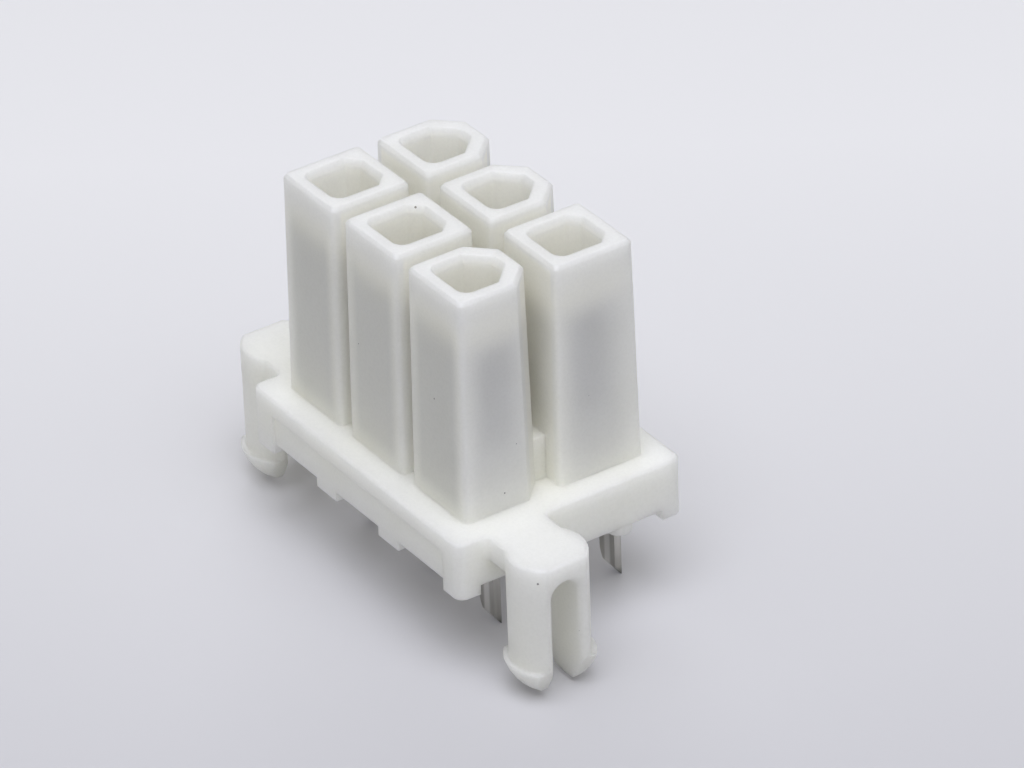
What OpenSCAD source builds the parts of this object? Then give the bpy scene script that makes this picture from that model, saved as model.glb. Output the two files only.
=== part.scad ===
// Six-way board connector: a moulded housing of keyed silos on a flanged base
// with two split board locks, and six stamped socket terminals with solder tails.
// Origin: middle of the socket array, on the face of the board that the feet sit on.
// X runs along the rows, Y across them, Z away from the board.

/* [Socket array] */
// Distance between neighbouring sockets in a row
pitch = 4.2; // [4.1:0.05:5]
// Distance between the two rows of sockets
row_pitch = 4.2; // [4.15:0.05:4.5]

/* [Silos] */
// Width of a silo at its top, both ways
silo_w = 3.44; // [3.2:0.02:3.5]
// Height of a silo above the base
silo_h = 9.4; // [7.5:0.1:12]
// Draft of the silo's X faces, each side, top to bottom
draft_x = 0.06; // [0.02:0.01:0.14]
// Draft of the silo's Y faces, each side, top to bottom
draft_y = 0.15; // [0.02:0.01:0.24]
// Radius of a silo's plain upright corners
silo_corner_r = 0.17; // [0.1:0.01:0.45]
// Leg of the chamfers that key a D-shaped silo
key_chamfer = 0.95; // [0.6:0.05:1]
// Height of the small bevel round a silo's rim
rim_bevel = 0.14; // [0.05:0.01:0.2]
// Height of the web that ties the two rows together
web_h = 1.85; // [1:0.05:4]

/* [Sockets] */
// Width of the square mouth
mouth_w = 2.15; // [2:0.05:2.2]
// Width of the lead-in round the mouth, each side
lead_in = 0.15; // [0.05:0.05:0.2]
// Radius of the mouth's corners away from the keyed side
mouth_r = 0.35; // [0.15:0.05:0.4]
// Corner chamfer of a plain silo's mouth
mouth_chamfer = 0.4; // [0.2:0.05:0.5]
// Corner chamfer of a keyed silo's mouth
keyed_mouth_chamfer = 0.75; // [0.4:0.05:0.8]
// Depth of the mouth, down to the stop for the terminal
mouth_depth = 2.3; // [1.5:0.1:3]
// Width of the pocket that holds the terminal
pocket_w = 2.4; // [2.35:0.05:2.5]
// Corner chamfer of pocket and terminal on the keyed side
pocket_chamfer = 0.4; // [0.2:0.05:0.5]
// Width of a lance groove
groove_w = 1.1; // [0.9:0.05:1.2]
// Depth of a lance groove beyond the pocket wall
groove_depth = 0.16; // [0.12:0.02:0.2]
// Offset of a lance groove from the middle of its wall
groove_shift = 0.3; // [0.1:0.05:0.35]

/* [Base] */
// Length of the base
base_l = 14; // [13.6:0.1:15]
// Width of the base
base_w = 10.1; // [9.6:0.1:11]
// Thickness of the base, without its feet
base_t = 2.05; // [1.9:0.05:2.6]
// Radius of the base's upright corners
base_corner_r = 0.42; // [0.3:0.02:0.8]
// Radius along the top edges of base, neck and lock
edge_r = 0.12; // [0.06:0.02:0.24]
// Height of the feet under the base
foot_h = 0.4; // [0.2:0.05:0.6]
// Length along X of the corner feet at the +X end
corner_foot_l = 1.08; // [0.9:0.02:1.6]
// Length along X of the corner feet at the -X end
far_foot_l = 1.37; // [0.9:0.01:1.6]
// Length of a corner foot along Y
corner_foot_w = 0.95; // [0.7:0.05:1.1]
// Length of a foot between two sockets
side_foot_l = 1.35; // [0.9:0.05:1.8]
// Width of a foot between two sockets
side_foot_w = 0.7; // [0.4:0.05:0.75]
// Diameter of the round foot at each end
round_foot_d = 1.0; // [0.6:0.1:1.4]
// Depth of the shallow recess in each long side of the base
recess_depth = 0.1; // [0.04:0.02:0.2]
// Height of that recess, from the feet up
recess_h = 1.3; // [0.8:0.1:1.5]

/* [Board locks] */
// Distance of a lock's axis from the middle of the array, along X
lock_x = 9; // [8.9:0.1:10]
// Distance of both locks' axes from the middle line, along Y
lock_y = 2.47; // [2.2:0.01:2.6]
// Diameter of a lock's post
lock_d = 3.08; // [2.8:0.02:3.2]
// Width of a post across its two flats
lock_flat_w = 2.54; // [2:0.02:2.7]
// Width of the slot between the legs
slot_w = 1.2; // [0.8:0.1:1.3]
// Solid height of a post over its slot
slot_roof = 0.9; // [0.6:0.05:1.2]
// Radius of the slot's rounded edges on the flats
slot_edge_r = 0.3; // [0.1:0.05:0.35]
// Distance from the board's face to the ledge of the barbs
ledge_drop = 2.08; // [1.7:0.02:2.6]
// Length of a lock below the board's face
lock_drop = 3.45; // [3.4:0.05:4.2]
// How far a barb stands out from the post
barb_out = 0.2; // [0.1:0.02:0.3]
// Height of a barb's straight rim
barb_rim = 0.1; // [0.05:0.05:0.4]
// Radius of the bulge down a barb's slope
barb_bulge_r = 2; // [1.5:0.5:8]
// Radius of a leg's nose, seen along Y
nose_r = 0.85; // [0.6:0.05:0.95]
// Height over which a leg narrows to its nose
leg_taper_h = 1.45; // [1.35:0.05:1.8]
// Radius of a lock's blunt tip
lock_tip_r = 0.64; // [0.6:0.02:1.1]
// Width of the neck between base and post
neck_w = 2.55; // [1.8:0.05:2.7]
// Thickness of the neck, from the base's top down
neck_t = 1; // [0.8:0.05:1.6]
// Radius of the fillets where the neck meets the base
neck_fillet = 0.3; // [0.2:0.05:0.5]

/* [Terminals] */
// Thickness of the terminal's sheet
sheet_t = 0.3; // [0.24:0.02:0.34]
// Gap between the terminal's box and the pocket wall, each side
box_clearance = 0.06; // [0.03:0.01:0.08]
// Height of the terminal's box
box_h = 5.6; // [5:0.1:6]
// Width of a solder tail
tail_w = 1; // [0.8:0.05:1.1]
// Distance between the two rows of solder tails
tail_row_pitch = 5.5; // [5.3:0.05:5.6]
// Shift of the tail rows from the middle of the sockets
tail_shift = 0.85; // [0.7:0.05:0.9]
// Length of a tail below the board's face
tail_drop = 3.5; // [3:0.1:4]
// Length of the bevel on a tail's tip
tail_bevel = 0.42; // [0.2:0.02:0.6]
// Width of a contact spring
spring_w = 0.9; // [0.6:0.1:1.1]
// Length of a contact spring
spring_l = 3.7; // [2.6:0.1:4.2]
// Gap between the two springs where they bow closest
spring_gap = 1; // [0.6:0.1:1.2]
// Height of a locking lance
lance_h = 1.6; // [1:0.1:1.8]

/* [Hidden] */
columns = 3;
rows = 2;
// 1 where a silo is keyed with chamfers, row by row
keyed = [[0, 0, 1], [1, 1, 0]];

base_top = foot_h + base_t;
silo_top = base_top + silo_h;
silo_foot_x = silo_w + 2 * draft_x;
silo_foot_y = silo_w + 2 * draft_y;
stop_z = silo_top - mouth_depth;
box_bottom = stop_z - box_h;
box_w = pocket_w - 2 * box_clearance;
box_inner_w = box_w - 2 * sheet_t;
// Lower ends of the lance grooves, and the play a lance has in one
groove_z = box_bottom + box_h / 4;
lance_play = 0.05;
lance_w = groove_w - 0.3;
// Seam of the rolled box, flat ends of a spring and its distance below the box's top
seam_w = 0.12;
spring_end = 0.45;
spring_top = stop_z - 0.3;
spring_t = 0.7 * sheet_t;
// Room round a tail under the base, and its height over the feet
tail_clearance = 0.2;
tail_room = min(1.4, base_t - 0.45);
// Heights between which the strip runs from under the box out to its tail
bend_top = foot_h + tail_room - 0.25;
bend_low = bend_top - 0.75;
// Bevel and lead-in heights that follow from their widths
rim_in = 0.7 * rim_bevel;
lead_in_h = 2 * lead_in;
// Overlap that joins the web to the silos
web_lap = 0.1;
slot_top = base_top - slot_roof;
arch_z = slot_top - slot_w / 2;
eps = 0.01;
fine = 36;
$fn = fine;

function socket_x(column) = (column - (columns - 1) / 2) * pitch;
function socket_y(row) = (row - (rows - 1) / 2) * row_pitch;
function tail_y(row) = tail_shift + (row - (rows - 1) / 2) * tail_row_pitch;

// ---- small 2D helpers ----

module round_rect(size_x, size_y, r) {
    square([size_x - 2 * r, size_y], center = true);
    square([size_x, size_y - 2 * r], center = true);
    for (sx = [-1, 1], sy = [-1, 1])
        translate([sx * (size_x / 2 - r), sy * (size_y / 2 - r)]) circle(r);
}

// An arc as a list of points, for profiles that have to be one polygon
function arc(cx, cy, r, from, to, steps) =
    [for (i = [0:steps])
        let (a = from + (to - from) * i / steps)
            [cx + r * cos(a), cy + r * sin(a)]];

// Outline of a silo: round corners at -Y, round or chamfered ones at +Y
function silo_outline(size_x, size_y, r, chamfer) =
    let (hx = size_x / 2, hy = size_y / 2, n = 6)
        concat(
            arc(-hx + r, -hy + r, r, 180, 270, n),
            arc(hx - r, -hy + r, r, 270, 360, n),
            chamfer > 0
                ? [[hx, hy - chamfer], [hx - chamfer, hy],
                   [-hx + chamfer, hy], [-hx, hy - chamfer]]
                : concat(arc(hx - r, hy - r, r, 0, 90, n),
                         arc(-hx + r, hy - r, r, 90, 180, n)));

// Outline of a mouth: round corners at -Y, chamfered ones at +Y
function mouth_outline(size, r, chamfer) =
    let (h = size / 2, n = 4)
        concat(
            arc(-h + r, -h + r, r, 180, 270, n),
            arc(h - r, -h + r, r, 270, 360, n),
            [[h, h - chamfer], [h - chamfer, h], [-h + chamfer, h], [-h, h - chamfer]]);

// Square hole with its two keyed-side corners cut off
function socket_outline(size, chamfer) =
    let (h = size / 2)
        [[-h, -h], [h, -h], [h, h - chamfer], [h - chamfer, h],
         [-h + chamfer / 2, h], [-h, h - chamfer / 2]];

// Arc from p to q that bulges away to the right of the way from p to q
function bulge(p, q, r, steps) =
    let (way = q - p,
         c = (p + q) / 2 + [-way[1], way[0]] * sqrt(pow(r / norm(way), 2) - 0.25))
        arc(c[0], c[1], r, atan2(p[1] - c[1], p[0] - c[0]),
            atan2(q[1] - c[1], q[0] - c[0]), steps);

// What a square corner at [r, r] loses when it is rounded
module corner_waste(r) {
    difference() {
        square(r + eps);
        circle(r);
    }
}

// A loft between two outlines with as many points each, bottom first
module loft(lower, upper, z_lower, z_upper) {
    n = len(lower);
    polyhedron(
        points = concat([for (p = lower) [p[0], p[1], z_lower]],
                        [for (p = upper) [p[0], p[1], z_upper]]),
        faces = concat([[for (i = [0:n - 1]) i]],
                       [[for (i = [n - 1:-1:0]) n + i]],
                       [for (i = [0:n - 1]) [i, n + i, n + (i + 1) % n, (i + 1) % n]]));
}

// ---- housing ----

module silo_body(chamfer) {
    rim_z = silo_top - rim_bevel;
    rim = silo_outline(silo_w, silo_w, silo_corner_r, chamfer);
    loft(silo_outline(silo_foot_x, silo_foot_y, silo_corner_r, chamfer), rim,
         base_top - edge_r, rim_z);
    loft(rim,
         silo_outline(silo_w - 2 * rim_in, silo_w - 2 * rim_in, silo_corner_r, chamfer),
         rim_z, silo_top);
}

module socket_cavity(chamfer) {
    mouth = mouth_outline(mouth_w, mouth_r, chamfer);
    translate([0, 0, -1])
        linear_extrude(stop_z + 1) polygon(socket_outline(pocket_w, pocket_chamfer));
    translate([0, 0, stop_z - eps])
        linear_extrude(mouth_depth + 1) polygon(mouth);
    loft(mouth, mouth_outline(mouth_w + 2 * lead_in, mouth_r + lead_in, chamfer + lead_in),
         silo_top - lead_in_h, silo_top + eps);
    // One groove for each of the two locking lances, turned half a turn apart
    for (turn = [0, 180]) rotate(turn)
        translate([0, -groove_shift - groove_w / 2, groove_z])
            cube([pocket_w / 2 + groove_depth, groove_w, stop_z - groove_z - sheet_t]);
}

// Half section of an edge with its top rounded: from the axis out to reach
module edge_profile(reach, top, bottom) {
    difference() {
        translate([0, bottom]) square([reach, top - bottom]);
        translate([reach - edge_r, top - edge_r]) corner_waste(edge_r);
    }
}

module slab_profile(width, bottom) {
    edge_profile(width / 2, base_top, bottom);
    mirror([1, 0]) edge_profile(width / 2, base_top, bottom);
}

// Flange with rounded top edges and rounded upright corners
module base_slab() {
    translate([-base_l / 2 + base_corner_r, 0, 0])
        rotate([90, 0, 90]) linear_extrude(base_l - 2 * base_corner_r) slab_profile(base_w, foot_h);
    translate([0, base_w / 2 - base_corner_r, 0])
        rotate([90, 0, 0]) linear_extrude(base_w - 2 * base_corner_r) slab_profile(base_l, foot_h);
    for (sx = [-1, 1], sy = [-1, 1])
        translate([sx * (base_l / 2 - base_corner_r), sy * (base_w / 2 - base_corner_r), 0])
            rotate_extrude() edge_profile(base_corner_r, base_top, foot_h);
}

// Stand-off feet: corners, between the sockets, and one round foot at each end
module feet() {
    intersection() {
        linear_extrude(foot_h + eps) round_rect(base_l, base_w, base_corner_r);
        for (sx = [-1, 1], sy = [-1, 1]) {
            translate([sx * base_l / 2, sy * base_w / 2, foot_h / 2])
                cube([2 * (sx > 0 ? corner_foot_l : far_foot_l), 2 * corner_foot_w, 2 * foot_h],
                     center = true);
            translate([sx * pitch / 2, sy * base_w / 2, foot_h / 2])
                cube([side_foot_l, 2 * side_foot_w, 2 * foot_h], center = true);
        }
    }
    for (sx = [-1, 1])
        translate([sx * (base_l / 2 - round_foot_d / 2 - eps), lock_y, 0])
            cylinder(d = round_foot_d, h = foot_h + eps);
}

// Shallow recess along both long sides, between the corner feet
module side_recess() {
    for (sy = [-1, 1])
        translate([-base_l / 2 + far_foot_l, sy * base_w / 2 - recess_depth, -1])
            cube([base_l - far_foot_l - corner_foot_l, 2 * recess_depth, foot_h + recess_h + 1]);
}

// Where a tangent from p meets a circle of radius r round c, on its lower right
function tangent_point(p, c, r) =
    let (way = p - c, a = atan2(way[1], way[0]) - acos(r / norm(way)))
        c + r * [cos(a), sin(a)];

// Outline of a post seen along Y: two flats that narrow to a nose below
function leg_outline() =
    let (half = lock_flat_w / 2,
         edge_x = half - edge_r,
         edge_z = base_top - edge_r,
         nose = [0, nose_r - lock_drop],
         taper_top = leg_taper_h - lock_drop,
         touch = tangent_point([half, taper_top], nose, nose_r) - nose,
         a = atan2(touch[1], touch[0]))
        concat([[-half, taper_top]],
               arc(nose[0], nose[1], nose_r, 180 - a, 360 + a, 10),
               [[half, taper_top]],
               arc(edge_x, edge_z, edge_r, 0, 90, 3),
               arc(-edge_x, edge_z, edge_r, 90, 180, 3));

// Round post with its barb, cut to two flats
module lock_blank() {
    barb_r = lock_d / 2 + barb_out;
    intersection() {
        union() {
            rotate_extrude() edge_profile(lock_d / 2, base_top, -ledge_drop);
            rotate_extrude() polygon(concat(
                [[0, -lock_drop]],
                bulge([lock_tip_r, -lock_drop], [barb_r, -ledge_drop - barb_rim], barb_bulge_r, 5),
                [[barb_r, -ledge_drop], [0, -ledge_drop + eps]]));
        }
        rotate([90, 0, 0]) linear_extrude(2 * lock_d, center = true) polygon(leg_outline());
    }
}

// What the slot's edges lose: up both sides, round the arch, and under the tips
module slot_edges() {
    edge_x = lock_flat_w / 2 - slot_edge_r;
    edge_y = slot_w / 2 + slot_edge_r;
    for (turn = [0, 180]) rotate(turn) {
        for (side = [0, 1]) mirror([0, side, 0])
            translate([edge_x, edge_y, -lock_drop]) linear_extrude(arch_z + lock_drop)
                mirror([0, 1]) corner_waste(slot_edge_r);
        translate([0, 0, arch_z]) rotate([0, 90, 0]) rotate_extrude()
            translate([edge_y, edge_x]) mirror([1, 0]) corner_waste(slot_edge_r);
        translate([-lock_d, edge_y, slot_edge_r - lock_drop]) rotate([90, 0, 90])
            linear_extrude(2 * lock_d) rotate(180) corner_waste(slot_edge_r);
    }
}

// Split post with a barb on each leg, axis at the origin, neck towards -X
module board_lock() {
    // The neck runs from inside the base to inside the post
    neck_start = base_l / 2 - base_corner_r - lock_x;
    neck_end = slot_edge_r - lock_flat_w / 2 + 0.1;
    difference() {
        union() {
            difference() {
                lock_blank();
                slot_edges();
            }
            translate([neck_start, 0, 0])
                rotate([90, 0, 90]) linear_extrude(neck_end - neck_start)
                    slab_profile(neck_w, base_top - neck_t);
            for (side = [-1, 1]) scale([1, side, 1]) neck_fillet_block();
        }
        // Slot with an arched roof, open at the tips and towards the base
        translate([base_l / 2 - lock_x, -slot_w / 2, -lock_drop - 1])
            cube([lock_x - base_l / 2 + lock_d, slot_w, arch_z + lock_drop + 1]);
        translate([base_l / 2 - lock_x, 0, arch_z])
            rotate([0, 90, 0]) cylinder(d = slot_w, h = lock_x - base_l / 2 + lock_d);
    }
}

// Concave blend between base end and neck, with the same rounded top edge
module neck_fillet_block() {
    reach = neck_fillet + 2 * edge_r;
    translate([base_l / 2 - lock_x + neck_fillet, neck_w / 2 + neck_fillet, 0])
        intersection() {
            rotate_extrude() difference() {
                translate([neck_fillet, base_top - neck_t]) square([reach, neck_t]);
                translate([neck_fillet + edge_r, base_top - edge_r])
                    mirror([1, 0]) corner_waste(edge_r);
            }
            translate([-neck_fillet - edge_r, -neck_fillet - edge_r, 0])
                cube([neck_fillet + edge_r, neck_fillet + edge_r, base_top + 1]);
        }
}

// Room under the base for the bent strip and tail of one terminal
module tail_pocket(row) {
    reach = tail_y(row) - socket_y(row) + sheet_t / 2 + tail_clearance;
    width = tail_w + 2 * tail_clearance;
    translate([-width / 2, -pocket_w / 2, foot_h - 1])
        cube([width, pocket_w / 2 + max(reach, pocket_w / 2), tail_room + 1]);
}

module housing() {
    color("whitesmoke") difference() {
        union() {
            base_slab();
            feet();
            for (row = [0:rows - 1], column = [0:columns - 1])
                translate([socket_x(column), socket_y(row), 0])
                    silo_body(keyed[row][column] * key_chamfer);
            translate([0, 0, base_top + web_h / 2 - edge_r / 2])
                cube([2 * socket_x(columns - 1) + silo_w - 2 * key_chamfer + 2 * web_lap,
                      row_pitch - silo_w + web_lap, web_h + edge_r], center = true);
            for (end = [-1, 1])
                scale([end, 1, 1]) translate([lock_x, -lock_y, 0]) board_lock();
        }
        for (row = [0:rows - 1], column = [0:columns - 1])
            translate([socket_x(column), socket_y(row), 0]) {
                socket_cavity(keyed[row][column] ? keyed_mouth_chamfer : mouth_chamfer);
                tail_pocket(row);
            }
        side_recess();
    }
}

// ---- terminals ----

// Band of even thickness along a path, as one polygon
function band(path, t) =
    let (n = len(path),
         dirs = [for (i = [0:n - 2]) (path[i + 1] - path[i]) / norm(path[i + 1] - path[i])],
         sides = [for (i = [0:n - 1])
             let (a = dirs[max(i - 1, 0)], b = dirs[min(i, n - 2)], m = a + b)
                 [-m[1], m[0]] / (1 + a * b)])
        concat([for (i = [0:n - 1]) path[i] + sides[i] * t / 2],
               [for (i = [n - 1:-1:0]) path[i] - sides[i] * t / 2]);

// Stamped box with a seam, two locking lances and two contact springs
module terminal_box() {
    translate([0, 0, box_bottom]) linear_extrude(box_h) difference() {
        polygon(socket_outline(box_w, pocket_chamfer));
        square([box_inner_w, box_inner_w], center = true);
        translate([0, -box_w / 2]) square([seam_w, 3 * sheet_t], center = true);
    }
    for (turn = [0, 180]) rotate(turn) {
        contact_spring();
        locking_lance();
    }
}

// Bows inwards from the wall at +X
module contact_spring() {
    wall = box_inner_w / 2;
    translate([0, spring_w / 2, 0]) rotate([90, 0, 0]) linear_extrude(spring_w)
        polygon(band([[wall, spring_top], [wall - eps, spring_top - spring_end],
                      [spring_gap / 2, spring_top - spring_l / 2],
                      [wall - eps, spring_top - spring_l + spring_end],
                      [wall, spring_top - spring_l]], spring_t));
}

// Stands in a groove of the pocket, just over the groove's lower end
module locking_lance() {
    root = box_w / 2 - sheet_t;
    foot_z = groove_z + lance_play;
    translate([0, -groove_shift + lance_w / 2, 0]) rotate([90, 0, 0])
        linear_extrude(lance_w)
            polygon([[root, foot_z],
                     [pocket_w / 2 + groove_depth - lance_play, foot_z],
                     [root + sheet_t / 2, foot_z + lance_h],
                     [root, foot_z + lance_h]]);
}

// Strip from the box's +Y wall, bent sideways under the base, then the tail
module terminal_tail(row) {
    wall_y = box_w / 2 - sheet_t / 2;
    offset_y = tail_y(row) - socket_y(row);
    difference() {
        translate([-tail_w / 2, 0, 0]) rotate([90, 0, 90]) linear_extrude(tail_w)
            polygon(band([[wall_y, box_bottom + 2 * sheet_t], [wall_y, bend_top],
                          [offset_y, bend_low], [offset_y, -tail_drop]], sheet_t));
        // Coined bevel across the tip, and one corner rounded over the whole width
        translate([-tail_w, offset_y - sheet_t / 2, -tail_drop])
            rotate([0, 90, 0]) linear_extrude(2 * tail_w)
                polygon([[eps, -eps], [-tail_bevel, -eps], [eps, 0.9 * sheet_t]]);
        translate([tail_w / 2, offset_y, tail_w - tail_drop]) rotate([90, 0, 0])
            linear_extrude(4 * sheet_t, center = true) rotate(180) corner_waste(tail_w);
    }
}

module terminal(column, row) {
    color("silver") translate([socket_x(column), socket_y(row), 0]) {
        terminal_box();
        terminal_tail(row);
    }
}

housing();
terminal(0, 0);  // terminal_1
terminal(1, 0);  // terminal_2
terminal(2, 0);  // terminal_3
terminal(0, 1);  // terminal_4
terminal(1, 1);  // terminal_5
terminal(2, 1);  // terminal_6
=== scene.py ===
import math

import bpy
from mathutils import Matrix, Vector


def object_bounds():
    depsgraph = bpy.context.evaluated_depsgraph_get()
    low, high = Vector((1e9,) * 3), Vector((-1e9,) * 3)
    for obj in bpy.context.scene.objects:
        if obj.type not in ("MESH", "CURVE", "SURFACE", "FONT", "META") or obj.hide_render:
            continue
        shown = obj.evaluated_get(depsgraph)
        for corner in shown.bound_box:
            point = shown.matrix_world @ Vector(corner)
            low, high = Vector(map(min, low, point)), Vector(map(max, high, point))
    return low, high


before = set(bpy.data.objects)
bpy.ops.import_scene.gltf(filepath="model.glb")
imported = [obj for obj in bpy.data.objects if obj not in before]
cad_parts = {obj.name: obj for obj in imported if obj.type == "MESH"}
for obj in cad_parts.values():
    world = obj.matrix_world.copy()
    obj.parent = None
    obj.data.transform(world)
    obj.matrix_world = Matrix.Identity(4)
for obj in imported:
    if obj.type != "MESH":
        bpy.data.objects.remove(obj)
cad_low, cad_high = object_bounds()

MM = 0.001

# ---- sizes and places, in metres; silos stand on a square grid, two rows of three ----
PART_MIDDLE = (cad_low + cad_high) / 2
PITCH = 4.2 * MM
SILO_HALF = 1.72 * MM
SILO_HEIGHT = 9.4 * MM
SILO_TOP = cad_high.z
BASE_TOP = SILO_TOP - SILO_HEIGHT
TAIL_END = cad_low.z
FLOOR_Z = cad_low.z
FLOOR_HALF = 400 * MM

# ---- camera: direction from the part, as azimuth and elevation in degrees ----
CAMERA_AZIMUTH = 56.76
CAMERA_ELEVATION = 32.33
CAMERA_ROLL = -2.17
CAMERA_DISTANCE = 259.8 * MM
CAMERA_LENS = 242.8
SENSOR_WIDTH = 36.0
CAMERA_AIM = Vector((0.43, 1.91, 3.54)) * MM

# ---- light levels ----
DOME_LEVEL = 0.27
DOME_COLOUR = (1.0, 0.995, 0.91, 1.0)
# azimuth, elevation (degrees), width (m), watts, colour
LAMPS = {
    "key_lamp": (57, 70, 0.34, 0.94, (0.97, 0.985, 1.085)),
    "left_lamp": (-20, 70, 0.34, 0.16, (0.97, 0.985, 1.06)),
    "right_lamp": (95, 60, 0.25, 0.22, (0.97, 0.985, 1.06)),
    "back_lamp": (237, 35, 0.25, 0.23, (0.97, 0.985, 1.06)),
}
LAMP_DISTANCE = 0.4

# ---- nylon: linear colours, then sizes; a span is where a ramp starts and ends ----
NYLON_WHITE = (0.97, 0.966, 0.875, 1.0)
NYLON_WARM = (0.96, 0.952, 0.84, 1.0)
# painted shade: grey for the contact darkening the long walls as seen through the nylon
NYLON_CONTACT_SHADE = (0.75, 0.75, 0.69, 1.0)
# painted shade: darker near the silos' rims, where thin walls lose light
NYLON_RIM_SHADE = (0.885, 0.885, 0.845, 1.0)
# painted light: a warm glow in the sockets and the gaps between silos
NYLON_INSIDE_GLOW = (0.995, 0.975, 0.86, 1.0)
CLOUD_SIZE = 6 * MM
CLOUD_SPAN = (0.3, 0.65)
MOTTLE_SIZE = 0.11 * MM
MOTTLE_SPAN = (0.35, 0.6)
MOTTLE_DARKEST = 0.972
GLOSS_SIZE = 1.2 * MM
GLOSS_SPAN = (0.3, 0.7)
NYLON_SMOOTH = 0.42
NYLON_ROUGH = 0.55
SKIN_SIZE = 0.07 * MM
SKIN_DEPTH = 0.008 * MM
SKIN_STRENGTH = 0.25
LIGHT_REACH = 1.8 * MM
REACH_BY_CHANNEL = (1.0, 1.0, 0.97)
NYLON_IOR = 1.53
NYLON_EDGE = 0.11 * MM

# ---- dark specks in the nylon: cell of their pattern, radius, share of cells with one ----
SPECK = (0.30, 0.28, 0.25, 1.0)
SPECK_CELL = 1.0 * MM
SPECK_RADIUS = 0.045 * MM
SPECK_SHARE = 0.1

# ---- where the silos' painted shade and painted glow fade in and out: each pair is a start and an end ----
WALL_DEPTH = 0.45 * MM
CONTACT_SHADE_SIDEWAYS = (SILO_HALF, 0.95 * MM)
CONTACT_SHADE_FOOT = (BASE_TOP - 0.2 * MM, BASE_TOP + 1.0 * MM)
CONTACT_SHADE_TOP = (SILO_TOP - 0.5 * MM, SILO_TOP - 2.4 * MM)
INSIDE_GLOW_FOOT = (BASE_TOP - 0.1 * MM, BASE_TOP + 0.4 * MM)
INSIDE_GLOW_TOP = (SILO_TOP - 0.1 * MM, SILO_TOP - 0.5 * MM)
RIM_SHADE_RISE = (SILO_TOP - 1.8 * MM, SILO_TOP - 0.5 * MM)

# ---- tin: linear colours, then sizes ----
TIN_LIGHT = (0.58, 0.57, 0.53, 1.0)
TIN_DARK = (0.48, 0.47, 0.44, 1.0)
# a lighter band down the middle of each tail
TIN_BAND = (0.84, 0.83, 0.80, 1.0)
TIN_TIP = (0.22, 0.22, 0.20, 1.0)
# painted light: the tin within the housing made light and warm, a glow of light through the
# nylon
TIN_HOUSED_GLOW = (0.93, 0.89, 0.79, 1.0)
STREAK_SIZE = 0.25 * MM
STREAK_STRETCH = (1, 1, 0.15)
STREAK_SPAN = (0.3, 0.7)
STREAK_DEPTH = 0.002 * MM
STREAK_STRENGTH = 0.05
POLISH_SPAN = (0.2, 0.8)
TIN_SMOOTH = 0.27
TIN_ROUGH = 0.34
TIN_EDGE = 0.05 * MM
BAND_SIDEWAYS = (0.26 * MM, 0.10 * MM)
TIP_FALL = (TAIL_END + 0.45 * MM, TAIL_END)
HOUSED_GLOW_RISE = (0.0, BASE_TOP)

# ---- floor: linear colours, the near one darker as painted shade, the half depth over which they change, gloss and glow ----
FLOOR_NEAR_SHADED = (0.475, 0.47, 0.485, 1.0)
FLOOR_FAR = (0.755, 0.75, 0.75, 1.0)
FLOOR_SHADE_FADE = 30 * MM
FLOOR_ROUGHNESS = 0.75
FLOOR_SHINE = 0.15
FLOOR_GLOW = (0.94, 0.94, 1.12, 1.0)
FLOOR_GLOW_LEVEL = 0.085


# ---- node helpers ----
def new_material(name):
    material = bpy.data.materials.new(name)
    material.use_nodes = True
    nodes = material.node_tree.nodes
    nodes.clear()
    shader = nodes.new("ShaderNodeBsdfPrincipled")
    output = nodes.new("ShaderNodeOutputMaterial")
    material.node_tree.links.new(shader.outputs["BSDF"], output.inputs["Surface"])
    return material, shader


def add_node(material, kind, inputs=None, **settings):
    node = material.node_tree.nodes.new(kind)
    for name, value in settings.items():
        setattr(node, name, value)
    for name, value in (inputs or {}).items():
        if isinstance(value, bpy.types.NodeSocket):
            material.node_tree.links.new(value, node.inputs[name])
        else:
            node.inputs[name].default_value = value
    return node


def link(material, source, target):
    material.node_tree.links.new(source, target)


def object_space(material):
    return add_node(material, "ShaderNodeTexCoord").outputs["Object"]


def position(material):
    """The point's x, y and z in object space."""
    spot = add_node(material, "ShaderNodeSeparateXYZ", {"Vector": object_space(material)})
    return spot.outputs["X"], spot.outputs["Y"], spot.outputs["Z"]


def noise(material, size, detail, stretch=(1, 1, 1)):
    """Noise in object space; size is the width of its grains in metres."""
    scaled = add_node(
        material, "ShaderNodeMapping", {"Vector": object_space(material), "Scale": stretch}
    )
    grains = add_node(
        material,
        "ShaderNodeTexNoise",
        {"Vector": scaled.outputs["Vector"], "Scale": 1 / size, "Detail": detail},
    )
    return grains.outputs["Fac"]


def calculate(material, operation, *values):
    node = add_node(
        material, "ShaderNodeMath", dict(enumerate(values)), operation=operation
    )
    return node.outputs["Value"]


def product(material, first, *others):
    for value in others:
        first = calculate(material, "MULTIPLY", first, value)
    return first


def fade(material, value, start, end):
    """0 at start, 1 at end, smooth in between."""
    node = add_node(
        material,
        "ShaderNodeMapRange",
        {"Value": value, "From Min": start, "From Max": end},
        interpolation_type="SMOOTHSTEP",
    )
    return node.outputs["Result"]


def mix(material, factor, first, second, blend="MIX"):
    node = add_node(
        material,
        "ShaderNodeMixRGB",
        {"Fac": factor, "Color1": first, "Color2": second},
        blend_type=blend,
    )
    return node.outputs["Color"]


def ramp(material, factor, span, colours):
    """The first colour below the span of factors, the second above it."""
    node = add_node(material, "ShaderNodeValToRGB", {"Fac": factor})
    for element, place, colour in zip(node.color_ramp.elements, span, colours):
        element.position = place
        element.color = colour
    return node.outputs["Color"]


def grey(level):
    return (level, level, level, 1.0)


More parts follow.
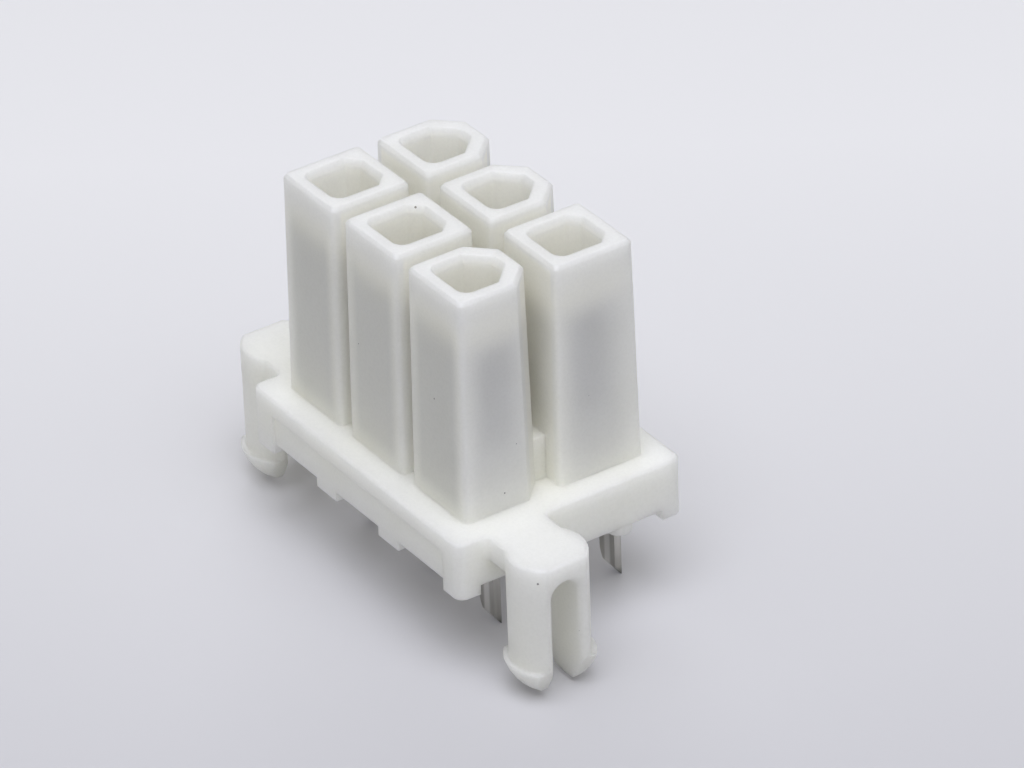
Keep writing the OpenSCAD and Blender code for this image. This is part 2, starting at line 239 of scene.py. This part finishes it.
def roughen(material, shader, height, edge, depth, strength):
    """Softens the edges by a radius and presses a fine relief into the surface."""
    bevel = add_node(material, "ShaderNodeBevel", {"Radius": edge}, samples=6)
    bump = add_node(
        material,
        "ShaderNodeBump",
        {
            "Strength": strength,
            "Distance": depth,
            "Height": height,
            "Normal": bevel.outputs["Normal"],
        },
    )
    link(material, bump.outputs["Normal"], shader.inputs["Normal"])


# ---- materials ----
def silo_masks(material):
    """Three masks of painted shade and painted light for the silos' colour.

    The first is 1 on the middle of each outer long wall: painted shade, where the contact in the
    silo darkens the wall as light passes through it.
    The second is 1 in the sockets and the gaps between silos: painted light, a warmer glow where
    light gathers in these hollows.
    The third rises to 1 near the silos' rims, where thin walls lose light: painted shade.
    """
    x, y, z = position(material)
    side_x = PITCH + SILO_HALF - WALL_DEPTH
    side_y = PITCH / 2 + SILO_HALF - WALL_DEPTH
    far_x = calculate(material, "ABSOLUTE", x)
    far_y = calculate(material, "ABSOLUTE", y)
    beyond_x = fade(material, far_x, side_x, side_x + WALL_DEPTH / 2)
    beyond_y = fade(material, far_y, side_y, side_y + WALL_DEPTH / 2)
    from_middle = calculate(material, "PINGPONG", x, PITCH / 2)
    # painted shade of the contact on the middle of the long walls
    contact_shade = product(
        material,
        beyond_y,
        fade(material, from_middle, *CONTACT_SHADE_SIDEWAYS),
        fade(material, z, *CONTACT_SHADE_FOOT),
        fade(material, z, *CONTACT_SHADE_TOP),
    )
    outer = calculate(material, "MAXIMUM", beyond_x, beyond_y)
    # painted light: warm glow in the sockets and the gaps between silos
    inside_glow = product(
        material,
        calculate(material, "SUBTRACT", 1.0, outer),
        fade(material, z, *INSIDE_GLOW_FOOT),
        fade(material, z, *INSIDE_GLOW_TOP),
    )
    # painted shade near the silos' rims
    rim_shade = fade(material, z, *RIM_SHADE_RISE)
    return contact_shade, inside_glow, rim_shade


def mottled(material, colour):
    """The colour with a fine mottle and a few dark specks."""
    grain = noise(material, MOTTLE_SIZE, detail=2.0)
    shade = ramp(material, grain, MOTTLE_SPAN, (grey(MOTTLE_DARKEST), grey(1.0)))
    toned = mix(material, 1.0, colour, shade, blend="MULTIPLY")
    cells = add_node(
        material,
        "ShaderNodeTexVoronoi",
        {"Vector": object_space(material), "Scale": 1 / SPECK_CELL},
    )
    radius = SPECK_RADIUS / SPECK_CELL
    close = calculate(material, "LESS_THAN", cells.outputs["Distance"], radius)
    draw = add_node(material, "ShaderNodeSeparateColor", {"Color": cells.outputs["Color"]})
    chosen = calculate(material, "LESS_THAN", draw.outputs["Red"], SPECK_SHARE)
    return mix(material, product(material, close, chosen), toned, SPECK)


def nylon_material():
    """Natural nylon: milky, light soaks in about two millimetres, satin as moulded."""
    material, shader = new_material("natural_nylon")
    clouds = noise(material, CLOUD_SIZE, detail=2.0)
    tint = ramp(material, clouds, CLOUD_SPAN, (NYLON_WARM, NYLON_WHITE))
    contact_shade, inside_glow, rim_shade = silo_masks(material)
    # painted shade near the silos' rims
    shaded = mix(material, rim_shade, tint, NYLON_RIM_SHADE)
    # painted warm glow in the sockets and gaps
    shaded = mix(material, inside_glow, shaded, NYLON_INSIDE_GLOW)
    # painted shade of the contact on the long walls
    shaded = mix(material, contact_shade, shaded, NYLON_CONTACT_SHADE)
    link(material, mottled(material, shaded), shader.inputs["Base Color"])
    shader.inputs["Subsurface Weight"].default_value = 1.0
    shader.inputs["Subsurface Radius"].default_value = REACH_BY_CHANNEL
    shader.inputs["Subsurface Scale"].default_value = LIGHT_REACH
    shader.inputs["IOR"].default_value = NYLON_IOR
    patches = noise(material, GLOSS_SIZE, detail=4.0)
    gloss = ramp(material, patches, GLOSS_SPAN, (grey(NYLON_SMOOTH), grey(NYLON_ROUGH)))
    link(material, gloss, shader.inputs["Roughness"])
    skin = noise(material, SKIN_SIZE, detail=2.0)
    roughen(material, shader, skin, NYLON_EDGE, SKIN_DEPTH, SKIN_STRENGTH)
    return material


def tin_material():
    """Tinned strip: satin metal, streaked along the strip, lighter down the middle of each tail,
    with a dark tip, and painted light and warm where the housing holds it.
    """
    material, shader = new_material("tinned_strip")
    streaks = noise(material, STREAK_SIZE, detail=2.0, stretch=STREAK_STRETCH)
    colour = ramp(material, streaks, STREAK_SPAN, (TIN_DARK, TIN_LIGHT))
    x, _, z = position(material)
    from_middle = calculate(material, "PINGPONG", x, PITCH / 2)
    colour = mix(material, fade(material, from_middle, *BAND_SIDEWAYS), colour, TIN_BAND)
    colour = mix(material, fade(material, z, *TIP_FALL), colour, TIN_TIP)
    # painted light and warmth where the housing holds the tin
    colour = mix(material, fade(material, z, *HOUSED_GLOW_RISE), colour, TIN_HOUSED_GLOW)
    link(material, colour, shader.inputs["Base Color"])
    shader.inputs["Metallic"].default_value = 1.0
    gloss = ramp(material, streaks, POLISH_SPAN, (grey(TIN_SMOOTH), grey(TIN_ROUGH)))
    link(material, gloss, shader.inputs["Roughness"])
    roughen(material, shader, streaks, TIN_EDGE, STREAK_DEPTH, STREAK_STRENGTH)
    return material


def floor_material():
    """Pale matt sheet, a little lighter towards the back: painted shade, darker towards the
    front.

    The glow lifts the shadow as the camera sees it and lights nothing.
    """
    material, shader = new_material("pale_sheet")
    _, y, _ = position(material)
    depth = add_node(
        material,
        "ShaderNodeMapRange",
        {"Value": y, "From Min": -FLOOR_SHADE_FADE, "From Max": FLOOR_SHADE_FADE},
    )
    # painted shade: the sheet darker towards the front
    tint = ramp(material, depth.outputs["Result"], (0.0, 1.0), (FLOOR_NEAR_SHADED, FLOOR_FAR))
    link(material, tint, shader.inputs["Base Color"])
    shader.inputs["Roughness"].default_value = FLOOR_ROUGHNESS
    shader.inputs["Specular IOR Level"].default_value = FLOOR_SHINE
    path = add_node(material, "ShaderNodeLightPath").outputs
    mirrored = calculate(
        material, "MAXIMUM", path["Is Glossy Ray"], path["Is Transmission Ray"]
    )
    seen = calculate(material, "MAXIMUM", path["Is Camera Ray"], mirrored)
    glow = product(material, seen, FLOOR_GLOW_LEVEL)
    shader.inputs["Emission Color"].default_value = FLOOR_GLOW
    link(material, glow, shader.inputs["Emission Strength"])
    return material


def dress_frame():
    nylon = nylon_material()
    tin = tin_material()
    for name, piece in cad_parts.items():
        piece.data.materials.clear()
        piece.data.materials.append(nylon if name == "housing" else tin)


# ---- stage ----
def direction(azimuth, elevation):
    """Unit vector from the part: azimuth 0 is -Y, 90 is +X."""
    azimuth = math.radians(azimuth)
    elevation = math.radians(elevation)
    return Vector((
        math.sin(azimuth) * math.cos(elevation),
        -math.cos(azimuth) * math.cos(elevation),
        math.sin(elevation),
    ))


def add_camera():
    back = direction(CAMERA_AZIMUTH, CAMERA_ELEVATION)
    upright = (-back).to_track_quat("-Z", "Y").to_matrix()
    turn = upright @ Matrix.Rotation(math.radians(CAMERA_ROLL), 3, "Z")
    data = bpy.data.cameras.new("camera")
    data.sensor_width = SENSOR_WIDTH
    data.lens = CAMERA_LENS
    data.clip_start = 0.01
    data.clip_end = 10.0
    camera = bpy.data.objects.new("camera", data)
    camera.matrix_world = Matrix.Translation(CAMERA_AIM + back * CAMERA_DISTANCE) @ turn.to_4x4()
    bpy.context.scene.collection.objects.link(camera)
    bpy.context.scene.camera = camera


def add_floor():
    """A sheet turned so that its own Y runs away from the camera."""
    mesh = bpy.data.meshes.new("floor")
    corners = [(-1, -1, 0), (1, -1, 0), (1, 1, 0), (-1, 1, 0)]
    mesh.from_pydata([Vector(c) * FLOOR_HALF for c in corners], [], [(0, 1, 2, 3)])
    floor = bpy.data.objects.new("floor", mesh)
    floor.location = (PART_MIDDLE.x, PART_MIDDLE.y, FLOOR_Z)
    floor.rotation_euler.z = math.radians(CAMERA_AZIMUTH)
    floor.data.materials.append(floor_material())
    bpy.context.scene.collection.objects.link(floor)


def add_lamps():
    for name, (azimuth, elevation, width, watts, colour) in LAMPS.items():
        data = bpy.data.lights.new(name, "AREA")
        data.shape = "DISK"
        data.size = width
        data.energy = watts
        data.color = colour
        lamp = bpy.data.objects.new(name, data)
        away = direction(azimuth, elevation)
        lamp.location = PART_MIDDLE + away * LAMP_DISTANCE
        lamp.rotation_mode = "QUATERNION"
        lamp.rotation_quaternion = away.to_track_quat("Z", "Y")
        bpy.context.scene.collection.objects.link(lamp)


def add_world():
    world = bpy.data.worlds.new("dome")
    world.use_nodes = True
    background = world.node_tree.nodes["Background"]
    background.inputs["Color"].default_value = DOME_COLOUR
    background.inputs["Strength"].default_value = DOME_LEVEL
    bpy.context.scene.world = world


dress_frame()
add_camera()
add_floor()
add_world()
add_lamps()
bpy.context.scene.view_settings.view_transform = "Standard"
